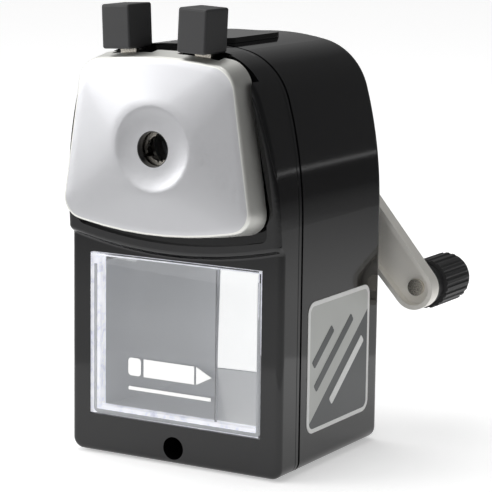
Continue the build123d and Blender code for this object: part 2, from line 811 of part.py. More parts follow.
def make_chuck_housing():
    """Back plate of the plate unit, with the pins that the jaws and levers turn on."""
    inside = plate_outline(-plate_skin - 0.2)
    housing = slab(inside, housing_front, housing_back)
    housing -= rod(pencil_bore + 0.3, 0, axis_z, housing_front - 1, housing_back + 1)
    for index in range(3):
        angle = radians(90 + 120 * index)
        x = jaw_pin_circle * cos(angle)
        z = axis_z + jaw_pin_circle * sin(angle)
        housing += rod(chuck_pin, x, z, jaw_front - 0.1, housing_front)
    for side in (-1, 1):
        housing += rod(lever_pin, side * lever_pivot_x, axis_z + lever_pivot_rise,
                       lever_front, housing_front)
        housing -= rod(rod_radius, side * rod_x, axis_z - rod_drop, housing_front - 1, housing_back + 1)
    housing += rod(1.0, 0, axis_z + lever_pivot_rise + 1.2, lever_front, housing_front)
    return housing


def make_guide_rods():
    rods = []
    for x in (-rod_x, rod_x):
        body = rod(rod_radius, x, rod_z, housing_front, rod_end)
        head = rod(rod_radius + rod_head, x, rod_z, housing_front - rod_head_thickness, housing_front)
        groove = tube(rod_radius + clip_wall, rod_radius - clip_groove, x, rod_z,
                      clip_front, clip_front + clip_width)
        rods.append((body + head - groove).solid())
    return Compound(children=rods)


def make_rod_clips():
    return Compound(children=[
        tube(rod_radius + clip_wall, rod_radius - clip_groove, x, rod_z,
             clip_front, clip_front + clip_width).solid()
        for x in (-rod_x, rod_x)
    ])


def make_return_springs():
    start = rod_bush_back + return_wire
    height = clip_front - return_wire - start
    coils = []
    for x in (-rod_x, rod_x):
        place = Plane(origin=(x, start, rod_z), x_dir=(1, 0, 0), z_dir=(0, 1, 0))
        path = Helix(height / return_turns, height, return_coil_radius)
        section = Plane(origin=path @ 0, z_dir=path % 0) * Circle(return_wire)
        coils.append((place * sweep(section, path, is_frenet=True)).solid())
    return Compound(children=coils)


def jaw_shape():
    """One jaw, pinned at the top of the pin circle, that grips with its lower end."""
    pin = (0, jaw_pin_circle)
    grip_angle = radians(90 + 97)
    reach = jaw_grip + jaw_width / 2
    end = (reach * cos(grip_angle), reach * sin(grip_angle))
    shape = capsule(pin, end, jaw_width) + Pos(*pin) * Circle(2.0)
    shape += capsule(pin, (0, jaw_pin_circle + jaw_tail), jaw_tail_width)
    shape -= Circle(jaw_grip)
    for tooth in range(jaw_teeth):
        angle = 90 + 97 + (tooth - (jaw_teeth - 1) / 2) * 19
        shape -= Rot(0, 0, angle) * (Pos(jaw_grip, 0) * Rot(0, 0, 45) * Rectangle(0.7, 0.7))
    shape -= Pos(*pin) * Circle(chuck_pin + pin_clearance)
    return shape


def make_jaw(index):
    turned = Rot(0, 0, 120 * index) * jaw_shape()
    return slab(Pos(0, axis_z) * turned, jaw_front, jaw_back)


def make_cam_ring():
    ring = tube(cam_outer, cam_inner, 0, axis_z, cam_front, cam_back)
    for index in range(3):
        angle = radians(90 + 120 * index + cam_pin_lead)
        x = cam_pin_circle * cos(angle)
        z = axis_z + cam_pin_circle * sin(angle)
        ring += rod(cam_pin, x, z, jaw_front + layer_gap, cam_back)
    angle = radians(drive_pin_angle)
    x = drive_pin_circle * cos(angle)
    z = axis_z + drive_pin_circle * sin(angle)
    return ring + rod(drive_pin, x, z, cam_front, lever_back - layer_gap)


def make_lever(side):
    pivot = (lever_pivot_x, lever_pivot_rise)
    cap_base = (cap_centre_x, cap_bottom_rise)
    run = cap_base[1] - pivot[1] + cap_socket
    top = (cap_base[0] + tan(radians(lever_splay)) * cap_socket, pivot[1] + run)
    strip = make_face(Polyline(
        (pivot[0] - lever_strip / 2, pivot[1]), (pivot[0] + lever_strip / 2, pivot[1]),
        (top[0] + lever_strip / 2, top[1]), (top[0] - lever_strip / 2, top[1]), close=True
    ))
    shape = strip + Pos(*pivot) * Circle(lever_boss)
    shape += capsule(pivot, (pivot[0] - 2.6, pivot[1] - 3.6), 2.6)
    shape -= Pos(*pivot) * Circle(lever_pin + pin_clearance)
    blade = slab(Pos(0, axis_z) * shape, lever_front, lever_back)
    return blade if side > 0 else mirror(blade, Plane.YZ)


def make_lever_cap(side):
    base = Box(cap_width, cap_depth, cap_height)
    cap = fillet(base.edges(), cap_edge)
    place = Pos(cap_centre_x, cap_middle_y, axis_z + cap_bottom_rise) * Rot(0, lever_splay, 0)
    cap = place * (Pos(0, 0, cap_height / 2) * cap)
    cap -= make_lever(1)
    return cap if side > 0 else mirror(cap, Plane.YZ)


def make_lever_spring():
    """Hairpin spring that holds the two levers apart, looped round a post of the housing."""
    y = (lever_front + lever_back) / 2
    z = axis_z + lever_pivot_rise + 1.2
    loop = Pos(0, y, z) * Rot(90, 0, 0) * Torus(1.0 + spring_wire + 0.1, spring_wire)
    spring = loop
    for side in (-1, 1):
        root = Vector(side * 0.9, y, z + 1.1)
        tip = Vector(side * (lever_pivot_x - lever_strip / 2 - spring_wire - 0.3), y, z + 4.6)
        leg = Plane(origin=root, z_dir=tip - root) * Cylinder(
            spring_wire, (tip - root).length, align=(Align.CENTER, Align.CENTER, Align.MIN)
        )
        spring += leg
    return spring


# ---- Write every piece ---------------------------------------------------------------------
pieces = {
    "front_frame": make_front_frame(),
    "body_cover": make_body_cover(),
    "rear_frame": make_rear_frame(),
    "base_plate": make_base_plate(),
    "rubber_pad": make_rubber_pad(),
    "base_screws": make_base_screws(),
    "drawer_liner": make_drawer_liner(),
    "drawer_tray": make_drawer_tray(),
    "drawer_mark": make_drawer_mark(),
    "side_label": make_side_label(),
    "top_badge": make_top_badge(),
    "chassis": make_chassis(),
    "rod_bushes": make_rod_bushes(),
    "rear_bearing": make_rear_bearing(),
    "rear_screws": make_rear_screws(),
    "front_screws": make_front_screws(),
    "ring_gear": make_ring_gear(),
    "cutter_pinion": make_cutter_pinion(),
    "helical_cutter": make_helical_cutter(),
    "cutter_axle": make_cutter_axle(),
    "cutter_carrier": make_cutter_carrier(),
    "main_shaft": make_main_shaft(),
    "crank_arm": make_crank_arm(),
    "crank_collar": make_crank_collar(),
    "hub_nut": make_hub_nut(),
    "knob_rivet": make_knob_rivet(),
    "crank_knob": make_crank_knob(),
    "face_plate": make_face_plate(),
    "pencil_bush": make_pencil_bush(),
    "chuck_housing": make_chuck_housing(),
    "guide_rods": make_guide_rods(),
    "rod_clips": make_rod_clips(),
    "return_springs": make_return_springs(),
    "jaw_a": make_jaw(0),
    "jaw_b": make_jaw(1),
    "jaw_c": make_jaw(2),
    "cam_ring": make_cam_ring(),
    "lever_left": make_lever(-1),
    "lever_right": make_lever(1),
    "lever_cap_left": make_lever_cap(-1),
    "lever_cap_right": make_lever_cap(1),
    "lever_spring": make_lever_spring(),
}

os.makedirs("parts", exist_ok=True)
for name, shape in pieces.items():
    export_step(shape, f"parts/{name}.step")
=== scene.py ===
from math import cos, pi, radians, sin

import bmesh
import bpy
from mathutils import Matrix, Vector


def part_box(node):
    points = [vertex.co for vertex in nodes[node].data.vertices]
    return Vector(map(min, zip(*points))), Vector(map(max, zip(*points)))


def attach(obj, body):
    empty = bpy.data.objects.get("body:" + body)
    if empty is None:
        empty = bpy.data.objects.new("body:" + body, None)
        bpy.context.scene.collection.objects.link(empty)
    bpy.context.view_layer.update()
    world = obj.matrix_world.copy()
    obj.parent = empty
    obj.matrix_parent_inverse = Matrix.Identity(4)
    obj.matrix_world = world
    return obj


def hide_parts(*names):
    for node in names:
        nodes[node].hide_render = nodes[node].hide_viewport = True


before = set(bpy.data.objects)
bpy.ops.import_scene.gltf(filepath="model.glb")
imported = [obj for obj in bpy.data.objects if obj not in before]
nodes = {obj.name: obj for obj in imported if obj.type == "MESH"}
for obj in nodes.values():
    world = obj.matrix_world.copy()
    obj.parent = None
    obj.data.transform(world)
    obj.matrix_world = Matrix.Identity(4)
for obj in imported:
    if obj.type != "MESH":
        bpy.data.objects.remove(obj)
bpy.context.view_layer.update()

mm = 0.001


# ---- Node helpers ---------------------------------------------------------------------------
def new_material(name):
    material = bpy.data.materials.new(name)
    material.use_nodes = True
    tree = material.node_tree
    shader = tree.nodes["Principled BSDF"]
    return material, tree, shader


def link(tree, source, target):
    tree.links.new(source, target)


def object_coordinates(tree):
    return tree.nodes.new("ShaderNodeTexCoord").outputs["Object"]


def make_group(name, inputs, outputs):
    """Empty shader group with the named sockets; each input is (name, kind, default)."""
    group = bpy.data.node_groups.new(name, "ShaderNodeTree")
    for label, kind, default in inputs:
        socket = group.interface.new_socket(name=label, in_out="INPUT", socket_type=kind)
        if default is not None:
            socket.default_value = default
    for label, kind in outputs:
        group.interface.new_socket(name=label, in_out="OUTPUT", socket_type=kind)
    start = group.nodes.new("NodeGroupInput")
    end = group.nodes.new("NodeGroupOutput")
    return group, start, end


def build_speckle_group():
    """Fine moulding speckle: a height for bump and a small swing of roughness."""
    group, start, end = make_group(
        "fine_speckle",
        [("Vector", "NodeSocketVector", None), ("Scale", "NodeSocketFloat", 900.0),
         ("Roughness", "NodeSocketFloat", 0.3), ("Swing", "NodeSocketFloat", 0.1)],
        [("Height", "NodeSocketFloat"), ("Roughness", "NodeSocketFloat")],
    )
    grain = group.nodes.new("ShaderNodeTexNoise")
    grain.inputs["Detail"].default_value = 3
    link(group, start.outputs["Vector"], grain.inputs["Vector"])
    link(group, start.outputs["Scale"], grain.inputs["Scale"])
    centred = group.nodes.new("ShaderNodeMath")
    centred.operation = "SUBTRACT"
    centred.inputs[1].default_value = 0.5
    link(group, grain.outputs["Fac"], centred.inputs[0])
    swing = group.nodes.new("ShaderNodeMath")
    swing.operation = "MULTIPLY_ADD"
    link(group, centred.outputs[0], swing.inputs[0])
    link(group, start.outputs["Swing"], swing.inputs[1])
    link(group, start.outputs["Roughness"], swing.inputs[2])
    link(group, grain.outputs["Fac"], end.inputs["Height"])
    link(group, swing.outputs[0], end.inputs["Roughness"])
    return group


def build_tone_group():
    """Two tones mixed by soft, large patches."""
    group, start, end = make_group(
        "soft_tone",
        [("Vector", "NodeSocketVector", None), ("Scale", "NodeSocketFloat", 60.0),
         ("Dark", "NodeSocketColor", (0, 0, 0, 1)), ("Light", "NodeSocketColor", (1, 1, 1, 1))],
        [("Color", "NodeSocketColor")],
    )
    patch = group.nodes.new("ShaderNodeTexNoise")
    patch.inputs["Detail"].default_value = 4
    link(group, start.outputs["Vector"], patch.inputs["Vector"])
    link(group, start.outputs["Scale"], patch.inputs["Scale"])
    mix = group.nodes.new("ShaderNodeMix")
    mix.data_type = "RGBA"
    link(group, patch.outputs["Fac"], mix.inputs["Factor"])
    link(group, start.outputs["Dark"], mix.inputs["A"])
    link(group, start.outputs["Light"], mix.inputs["B"])
    link(group, mix.outputs["Result"], end.inputs["Color"])
    return group


speckle_group = build_speckle_group()
tone_group = build_tone_group()


def surface(name, dark, light, roughness, swing=0.05, grain=900.0, bump=0.0, metallic=0.0,
            coat=0.0, tone_scale=60.0, glow=0.0):
    """Material whose colour drifts between two tones and whose roughness has a fine speckle."""
    material, tree, shader = new_material(name)
    where = object_coordinates(tree)
    tone = tree.nodes.new("ShaderNodeGroup")
    tone.node_tree = tone_group
    tone.inputs["Scale"].default_value = tone_scale
    tone.inputs["Dark"].default_value = (*dark, 1)
    tone.inputs["Light"].default_value = (*light, 1)
    speckle = tree.nodes.new("ShaderNodeGroup")
    speckle.node_tree = speckle_group
    speckle.inputs["Scale"].default_value = grain
    speckle.inputs["Roughness"].default_value = roughness
    speckle.inputs["Swing"].default_value = swing
    link(tree, where, tone.inputs["Vector"])
    link(tree, where, speckle.inputs["Vector"])
    link(tree, tone.outputs["Color"], shader.inputs["Base Color"])
    link(tree, speckle.outputs["Roughness"], shader.inputs["Roughness"])
    shader.inputs["Metallic"].default_value = metallic
    shader.inputs["Coat Weight"].default_value = coat
    if glow:
        link(tree, tone.outputs["Color"], shader.inputs["Emission Color"])
        shader.inputs["Emission Strength"].default_value = glow
    if bump:
        relief = tree.nodes.new("ShaderNodeBump")
        relief.inputs["Strength"].default_value = 1.0
        relief.inputs["Distance"].default_value = bump
        link(tree, speckle.outputs["Height"], relief.inputs["Height"])
        link(tree, relief.outputs["Normal"], shader.inputs["Normal"])
    return material


satin_tone = 0.55
satin_roughness = 0.34
rim_roughness = 0.50
arm_roughness = 0.65
wall_glow = 0.20  # light that the clear plastic would carry, as emission strengths
back_glow = 0.75
edge_glow = 0.75

gloss_black = surface("gloss_black", (0.003, 0.003, 0.0035), (0.005, 0.005, 0.0055), 0.07, 0.02, 1500,
                      bump=0.000003)
black_matte = surface("black_moulding", (0.022, 0.022, 0.023), (0.030, 0.030, 0.031), 0.42, 0.12, 2600,
                      bump=0.00002)
knob_black = surface("knob_black", (0.016, 0.016, 0.017), (0.026, 0.026, 0.027), 0.5, 0.14, 2200,
                     bump=0.00003)
rubber = surface("pad_rubber", (0.018, 0.018, 0.018), (0.028, 0.028, 0.027), 0.75, 0.1, 1800,
                 bump=0.00003)
satin_silver = surface("satin_silver", (satin_tone, satin_tone, satin_tone + 0.02),
                       (satin_tone + 0.05, satin_tone + 0.055, satin_tone + 0.07), satin_roughness, 0.16,
                       2400, bump=0.00001, metallic=1.0)
mirror_rim = surface("mirror_rim", (0.74, 0.74, 0.70), (0.84, 0.84, 0.81), rim_roughness, 0.06, 400,
                     metallic=1.0)
arm_nickel = surface("arm_nickel", (0.88, 0.86, 0.81), (0.96, 0.94, 0.90), arm_roughness, 0.12, 1400,
                     bump=0.00001, metallic=0.7)
nickel = surface("nickel_strip", (0.62, 0.58, 0.51), (0.76, 0.72, 0.65), 0.24, 0.12, 1400,
                 bump=0.000008, metallic=1.0)
steel = surface("ground_steel", (0.45, 0.45, 0.45), (0.56, 0.56, 0.56), 0.3, 0.1, 1600, metallic=1.0)
zinc = surface("cast_zinc", (0.42, 0.43, 0.44), (0.55, 0.56, 0.57), 0.45, 0.12, 1200, bump=0.00003,
               metallic=1.0)
bronze = surface("sintered_bronze", (0.40, 0.27, 0.13), (0.50, 0.35, 0.18), 0.4, 0.1, 2500,
                 metallic=1.0)
pale_bay = surface("pale_bay", (0.50, 0.50, 0.505), (0.56, 0.56, 0.565), 0.5, 0.1, 1500)
white_print = surface("white_print", (0.86, 0.86, 0.85), (0.92, 0.92, 0.91), 0.45, 0.05, 2000)
label_silver = surface("label_silver", (0.44, 0.45, 0.43), (0.54, 0.55, 0.53), 0.35, 0.06, 1500)
label_edge = surface("label_edge", (0.74, 0.74, 0.73), (0.80, 0.80, 0.79), 0.35, 0.06, 1500)
label_dark = surface("label_dark", (0.045, 0.05, 0.052), (0.065, 0.07, 0.072), 0.3, 0.06, 1500)
# The tray walls carry a weak painted glow and the white back wall a strong one: painted light that stands
# in for light coming through the clear drawer.
tray_grey = surface("tray_wall", (0.36, 0.37, 0.39), (0.44, 0.45, 0.47), 0.25, 0.06, 700, coat=0.4,
                    glow=wall_glow)
# The rib's lighter grey than the walls is a painted highlight along that edge.
tray_rib_painted_highlight = surface("tray_rib_painted_highlight", (0.50, 0.51, 0.53), (0.58, 0.59, 0.61), 0.25, 0.06, 700)
tray_white = surface("tray_back", (0.88, 0.88, 0.87), (0.94, 0.94, 0.93), 0.4, 0.05, 900,
                     glow=back_glow)
# Drawer edge: white patches, darker bluish patches and a glow, all painted highlights and reflections of
# light in the clear plastic edge.
edge_painted_highlights = surface("drawer_edge", (0.25, 0.26, 0.36), (1.0, 1.0, 1.0), 0.15, 0.08, 600, coat=0.6,
                      tone_scale=420.0, glow=edge_glow)


def make_clear():
    """Clear plastic: plain transmission, with only a trace of speckle in its roughness."""
    material, tree, shader = new_material("clear_drawer")
    where = object_coordinates(tree)
    speckle = tree.nodes.new("ShaderNodeGroup")
    speckle.node_tree = speckle_group
    speckle.inputs["Scale"].default_value = 700.0
    speckle.inputs["Roughness"].default_value = 0.02
    speckle.inputs["Swing"].default_value = 0.02
    link(tree, where, speckle.inputs["Vector"])
    link(tree, speckle.outputs["Roughness"], shader.inputs["Roughness"])
    shader.inputs["Base Color"].default_value = (0.98, 0.985, 0.99, 1)
    shader.inputs["Transmission Weight"].default_value = 1.0
    shader.inputs["IOR"].default_value = 1.49
    return material


clear = make_clear()

node_finish = {
    gloss_black: ["front_frame", "body_cover", "rear_frame", "top_badge"],
    black_matte: ["base_plate", "crank_collar", "pencil_bush", "lever_cap_left", "lever_cap_right"],
    knob_black: ["crank_knob"],
    rubber: ["rubber_pad"],
    arm_nickel: ["crank_arm"],
    nickel: ["rear_screws", "front_screws", "hub_nut", "knob_rivet", "chuck_housing",
             "guide_rods", "jaw_a", "jaw_b", "jaw_c", "cam_ring", "lever_left", "lever_right"],
    steel: ["base_screws", "cutter_pinion", "helical_cutter", "cutter_axle", "main_shaft", "rod_clips",
            "return_springs", "lever_spring"],
    zinc: ["chassis", "ring_gear", "cutter_carrier"],
    bronze: ["rod_bushes", "rear_bearing"],
    pale_bay: ["drawer_liner"],
    white_print: ["drawer_mark"],
}
for material, names in node_finish.items():
    for name in names:
        nodes[name].data.materials.clear()
        nodes[name].data.materials.append(material)


# ---- Modelling helpers ----------------------------------------------------------------------
def begin(primitive, **place):
    """Adds a primitive with nothing else selected and opens it in edit mode."""
    bpy.ops.object.select_all(action="DESELECT")
    primitive(**place)
    piece = bpy.context.object
    bpy.ops.object.transform_apply(location=True, rotation=True, scale=True)
    bpy.ops.object.mode_set(mode="EDIT")
    return piece


def pick(piece, kind, rule):
    """Selects the vertices, edges or faces that the rule accepts."""
    mesh = bmesh.from_edit_mesh(piece.data)
    bpy.ops.mesh.select_mode(type=kind)
    bpy.ops.mesh.select_all(action="DESELECT")
    for element in {"VERT": mesh.verts, "EDGE": mesh.edges, "FACE": mesh.faces}[kind]:
        element.select_set(bool(rule(element)))
    mesh.select_flush_mode()
    bmesh.update_edit_mesh(piece.data)


def middle(element):
    return sum((vert.co for vert in element.verts), Vector()) / len(element.verts)


def box_corners(name):
    """Low and high corner of a CAD node."""
    return [Vector(corner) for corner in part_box(name)]


def near(value, wanted, slack=0.02 * mm):
    return abs(value - wanted) < slack


def pull_out(shift, grow=(1, 1, 1), centre=(0, 0, 0)):
    """Extrudes what is selected, moves it by shift and scales it about centre."""
    bpy.ops.mesh.extrude_region_move(TRANSFORM_OT_translate={"value": shift})
    bpy.ops.transform.resize(value=grow, center_override=centre)


def paint(piece, slot, rule):
    for polygon in piece.data.polygons:
        if rule(polygon):
            polygon.material_index = slot


smooth_angle = radians(35)


def finish_piece(piece, name, body, materials):
    """Closes edit mode, settles the piece at the origin, names it and hands it to its body."""
    if bpy.context.object.mode == "EDIT":
        bpy.ops.object.mode_set(mode="OBJECT")
    bpy.ops.object.select_all(action="DESELECT")
    piece.select_set(True)
    bpy.context.view_layer.objects.active = piece
    bpy.ops.object.transform_apply(location=True, rotation=True, scale=True)
    bpy.ops.object.shade_smooth_by_angle(angle=smooth_angle)
    piece.name = name
    for material in materials:
        piece.data.materials.append(material)
    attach(piece, body)


def add_modifier(piece, kind, **settings):
    """Adds a modifier with its settings and applies it."""
    modifier = piece.modifiers.new(kind.lower(), kind)
    for key, value in settings.items():
        setattr(modifier, key, value)
    bpy.context.view_layer.objects.active = piece
    bpy.ops.object.modifier_apply(modifier=modifier.name)


# ---- Face plate -----------------------------------------------------------------------------
bush_low, bush_high = box_corners("pencil_bush")
plate_low, plate_high = box_corners("face_plate")
axis_z = (bush_low.z + bush_high.z) / 2
plate_lower_half = 26.9 * mm
plate_upper_half = 21.3 * mm
plate_fall = 17.6 * mm  # lower corners, below the crank axis
plate_climb = 20.1 * mm  # upper corners, above the crank axis
plate_sag = 3.4 * mm
plate_crown = 1.9 * mm
plate_round = 4.6 * mm
plate_edge_y = plate_low.y + 1.5 * mm
plate_foremost_y = plate_low.y + 0.05 * mm
plate_wall = 0.7 * mm
outline_half_sizes = 24.1, 19.5  # mean, for even growth of the rim
notch_inner, notch_outer = 3.6 * mm, 15.5 * mm  # distances from the middle
notch_room = 0.4 * mm  # in front of the lever strips
notch_height = 10 * mm
notch_lift = 2 * mm  # of its middle, above the plate's upper corners
dish_rings = [  # radius and depth behind the plate's foremost ring
    (4.5, 0.50), (5.6, 0.49), (7.2, 0.42), (8.7, 0.28), (9.7, 0.14), (10.3, 0.05), (11.0, 0.03),
]
rim_steps = [  # outward growth and depth behind the face's outer edge
    (0.25, 0.10), (0.48, 0.32), (0.60, 0.70), (0.62, 1.00), (1.30, 6.0), (1.42, 6.9),
]
ring_count = 64


def make_face_plate():
    """Pillowed plate: a dished middle, four sloping facets, and a deep polished rim."""
    centre = (0, 0, axis_z)
    radius, depth = dish_rings[0]
    plate = begin(bpy.ops.mesh.primitive_circle_add, vertices=ring_count, radius=radius * mm,
                  location=(0, 0, 0), rotation=(pi / 2, 0, 0))
    bpy.ops.transform.translate(value=(0, plate_foremost_y + depth * mm, axis_z))
    for (before, shallow), (after, deep) in zip(dish_rings, dish_rings[1:]):
        pull_out((0, (deep - shallow) * mm, 0), (after / before, 1, after / before), centre)
    # The outline: a trapezium whose long edges are arcs and whose corners are rounded.
    bpy.ops.mesh.select_all(action="DESELECT")
    bpy.ops.mesh.primitive_plane_add(size=2, location=(0, 0, 0), rotation=(pi / 2, 0, 0))
    half_height = (plate_fall + plate_climb) / 2
    bpy.ops.transform.resize(value=(plate_lower_half, 1, half_height), center_override=(0, 0, 0))
    bpy.ops.transform.translate(value=(0, plate_edge_y, axis_z + (plate_climb - plate_fall) / 2))
    top = axis_z + plate_climb
    bottom = axis_z - plate_fall
    on_edge = lambda co: near(co.y, plate_edge_y)
    pick(plate, "VERT", lambda v: on_edge(v.co) and near(v.co.z, top))
    bpy.ops.transform.resize(value=(plate_upper_half / plate_lower_half, 1, 1), center_override=centre)
    pick(plate, "EDGE", lambda e: on_edge(middle(e)) and (
        near(middle(e).z, top) or near(middle(e).z, bottom)))
    bpy.ops.mesh.subdivide(number_cuts=8)
    pick(plate, "EDGE", lambda e: on_edge(middle(e)) and (
        abs(e.verts[0].co.z - e.verts[1].co.z) > half_height))
    bpy.ops.mesh.subdivide(number_cuts=6)
    pick(plate, "FACE", lambda f: on_edge(middle(f)))
    bpy.ops.mesh.dissolve_faces()
    mesh = bmesh.from_edit_mesh(plate.data)
    for vert in mesh.verts:
        if on_edge(vert.co) and near(vert.co.z, bottom):
            vert.co.z -= plate_sag * (1 - (vert.co.x / plate_lower_half) ** 2)
        elif on_edge(vert.co) and near(vert.co.z, top):
            vert.co.z += plate_crown * (1 - (vert.co.x / plate_upper_half) ** 2)
    bmesh.update_edit_mesh(plate.data)
    corners = [(side * half, z) for half, z in ((plate_lower_half, bottom), (plate_upper_half, top))
               for side in (-1, 1)]
    pick(plate, "VERT", lambda v: on_edge(v.co) and any(
        near(v.co.x, x) and near(v.co.z, z) for x, z in corners))
    bpy.ops.mesh.bevel(offset=plate_round, segments=8, affect="VERTICES", clamp_overlap=False)
    pick(plate, "FACE", lambda f: on_edge(middle(f)))
    bpy.ops.mesh.delete(type="ONLY_FACE")
    # The facets run from the dish to the outline, and the rim runs back from there.
    reach = dish_rings[-1][0] * mm
    from_axis = lambda co: ((co.x) ** 2 + (co.z - axis_z) ** 2) ** 0.5
    pick(plate, "EDGE", lambda e: all(on_edge(v.co) or near(from_axis(v.co), reach) for v in e.verts))
    bpy.ops.mesh.bridge_edge_loops(number_cuts=6, interpolation="LINEAR")
    pick(plate, "EDGE", lambda e: all(on_edge(v.co) for v in e.verts) and len(e.link_faces) == 1)
    before_grow, before_depth = 0.0, 0.0
    span_x, span_z = outline_half_sizes
    for grow, depth in rim_steps:
        pull_out((0, (depth - before_depth) * mm, 0),
                 ((span_x + grow) / (span_x + before_grow), 1, (span_z + grow) / (span_z + before_grow)),
                 centre)
        before_grow, before_depth = grow, depth
    bpy.ops.mesh.select_all(action="SELECT")
    bpy.ops.mesh.normals_make_consistent(inside=False)
    bpy.ops.object.mode_set(mode="OBJECT")
    if sum(p.normal.y * p.area for p in plate.data.polygons) > 0:
        plate.data.flip_normals()
    add_modifier(plate, "SOLIDIFY", thickness=plate_wall, offset=-1)
    cut_lever_notches(plate)
    finish_piece(plate, "face_plate_shell", "chuck", [satin_silver, mirror_rim])
    paint(plate, 1, lambda p: p.center.y > plate_edge_y)
    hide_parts("face_plate")


def cut_lever_notches(plate):
    """Slots in the rim's upper wall that the two lever strips swing in."""
    strip_low = box_corners("lever_right")[0]
    front_y = strip_low.y - notch_room
    back_y = plate_high.y + 1 * mm
    for side in (-1, 1):
        bpy.ops.object.select_all(action="DESELECT")
        bpy.ops.mesh.primitive_cube_add(
            size=1,
            location=(side * (notch_inner + notch_outer) / 2, (front_y + back_y) / 2,
                      axis_z + plate_climb + notch_lift),
            scale=(notch_outer - notch_inner, back_y - front_y, notch_height))
        cutter = bpy.context.object
        add_modifier(plate, "BOOLEAN", operation="DIFFERENCE", object=cutter, solver="EXACT")
        bpy.data.objects.remove(cutter)


# ---- Drawer ---------------------------------------------------------------------------------
tray_low, tray_high = box_corners("drawer_tray")
window_glass = 1.4 * mm
frame_depth = 2.6 * mm
frame_left, frame_right, frame_low, frame_top = 3.0 * mm, 1.3 * mm, 2.4 * mm, 0.9 * mm
tray_taper = 8.5 * mm  # the left wall leans in by this much towards the back
tray_rise = 4.4 * mm  # the floor climbs by this much towards the back
tray_wall = 0.9 * mm
rib_place = 11.9 * mm
rib_width, rib_depth = 0.35 * mm, 0.8 * mm
frame_rim = 0.5 * mm  # thickness the frame starts with, before its sides are moved
bin_left, bin_side, bin_top = 0.9 * mm, 0.3 * mm, 3.0 * mm  # inside the tray's box


def make_block(low, high):
    """Cube between two corners, open in edit mode."""
    centre = (low + high) / 2
    size = high - low
    return begin(bpy.ops.mesh.primitive_cube_add, size=1, location=centre, scale=size)


def make_drawer_window():
    """Clear front of the drawer, with rounded outer edges."""
    front_low = Vector((tray_low.x, tray_low.y, tray_low.z))
    front_high = Vector((tray_high.x, tray_low.y + window_glass, tray_high.z))
    window = make_block(front_low, front_high)
    pick(window, "EDGE", lambda e: all(near(v.co.y, tray_low.y) for v in e.verts))
    bpy.ops.mesh.bevel(offset=0.5 * mm, segments=3)
    finish_piece(window, "drawer_window", "drawer", [clear])
    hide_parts("drawer_tray")


def make_drawer_edge():
    """Thick edge of the drawer's front, whose white patches and glow are painted highlights: a frame
    behind the window, wider at the left and below.
    """
    y = tray_low.y + window_glass
    centre = Vector(((tray_low.x + tray_high.x) / 2, y, (tray_low.z + tray_high.z) / 2))
    size = tray_high - tray_low
    edge = begin(bpy.ops.mesh.primitive_plane_add, size=1, location=(0, 0, 0), rotation=(pi / 2, 0, 0))
    bpy.ops.transform.resize(value=(size.x, 1, size.z), center_override=(0, 0, 0))
    bpy.ops.transform.translate(value=centre)
    bpy.ops.mesh.inset(thickness=frame_rim)
    bpy.ops.mesh.delete(type="FACE")
    for axis, place, wanted in (("x", tray_low.x + frame_rim, tray_low.x + frame_left),
                                ("x", tray_high.x - frame_rim, tray_high.x - frame_right),
                                ("z", tray_low.z + frame_rim, tray_low.z + frame_low),
                                ("z", tray_high.z - frame_rim, tray_high.z - frame_top)):
        pick(edge, "VERT", lambda v: near(getattr(v.co, axis), place))
        shift = Vector((wanted - place, 0, 0)) if axis == "x" else Vector((0, 0, wanted - place))
        bpy.ops.transform.translate(value=shift)
    bpy.ops.mesh.select_all(action="SELECT")
    bpy.ops.mesh.extrude_region_move(TRANSFORM_OT_translate={"value": (0, frame_depth, 0)})
    inside = lambda co: (tray_low.x + mm < co.x < tray_high.x - mm
                         and tray_low.z + 0.6 * mm < co.z < tray_high.z - 0.6 * mm)
    pick(edge, "EDGE", lambda e: all(inside(v.co) and near(v.co.y, y) for v in e.verts))
    bpy.ops.mesh.bevel(offset=0.5 * mm, segments=2)
    bpy.ops.mesh.select_all(action="SELECT")
    bpy.ops.mesh.normals_make_consistent(inside=False)
    finish_piece(edge, "drawer_edge_frame", "drawer", [edge_painted_highlights])


def make_drawer_rib():
    """Slim upright rib behind the window, near its right side, in a lighter grey that is a painted
    highlight.
    """
    y = tray_low.y + window_glass
    low = Vector((rib_place, y, tray_low.z + frame_low))
    high = Vector((rib_place + rib_width, y + rib_depth, tray_high.z - frame_top))
    rib = make_block(low, high)
    bpy.ops.mesh.bevel(offset=0.1 * mm, segments=2)
    finish_piece(rib, "drawer_rib", "drawer", [tray_rib_painted_highlight])


def make_drawer_bin():
    """Shavings bin behind the window: it narrows to the back and its floor climbs."""
    front_y = tray_low.y + window_glass
    low = Vector((tray_low.x + bin_left, front_y, tray_low.z + bin_side))
    high = Vector((tray_high.x - bin_side, tray_high.y - bin_side, tray_high.z - bin_top))
    box = make_block(low, high)
    pick(box, "VERT", lambda v: near(v.co.y, high.y) and near(v.co.x, low.x))
    bpy.ops.transform.translate(value=(tray_taper, 0, 0))
    pick(box, "VERT", lambda v: near(v.co.y, high.y) and near(v.co.z, low.z))
    bpy.ops.transform.translate(value=(0, 0, tray_rise))
    pick(box, "FACE", lambda f: near(middle(f).y, low.y) or near(middle(f).z, high.z))
    bpy.ops.mesh.delete(type="FACE")
    pick(box, "EDGE", lambda e: len(e.link_faces) == 2)
    bpy.ops.mesh.bevel(offset=1.1 * mm, segments=4)
    bpy.ops.object.mode_set(mode="OBJECT")
    add_modifier(box, "SOLIDIFY", thickness=tray_wall, offset=-1)
    finish_piece(box, "drawer_bin", "drawer", [tray_grey, tray_white])
    # The back wall takes the white tray_back finish, whose strong glow is painted light.
    paint(box, 1, lambda p: abs(p.normal.y) > 0.9 and p.center.y > high.y - 2 * mm)


# ---- Side label -----------------------------------------------------------------------------
label_low, label_high = box_corners("side_label")
label_border = 1.1 * mm
label_thickness = label_high.x - label_low.x
label_corner = 3 * mm
label_drop = Vector((0, 0, 2.0 * mm))  # from the label's middle down to the two tones' border
label_along = Vector((0, 0.78, 0.62))
label_across = Vector((0, -0.62, 0.78))
bar_height = 2.3 * mm
bar_rise = 0.06 * mm


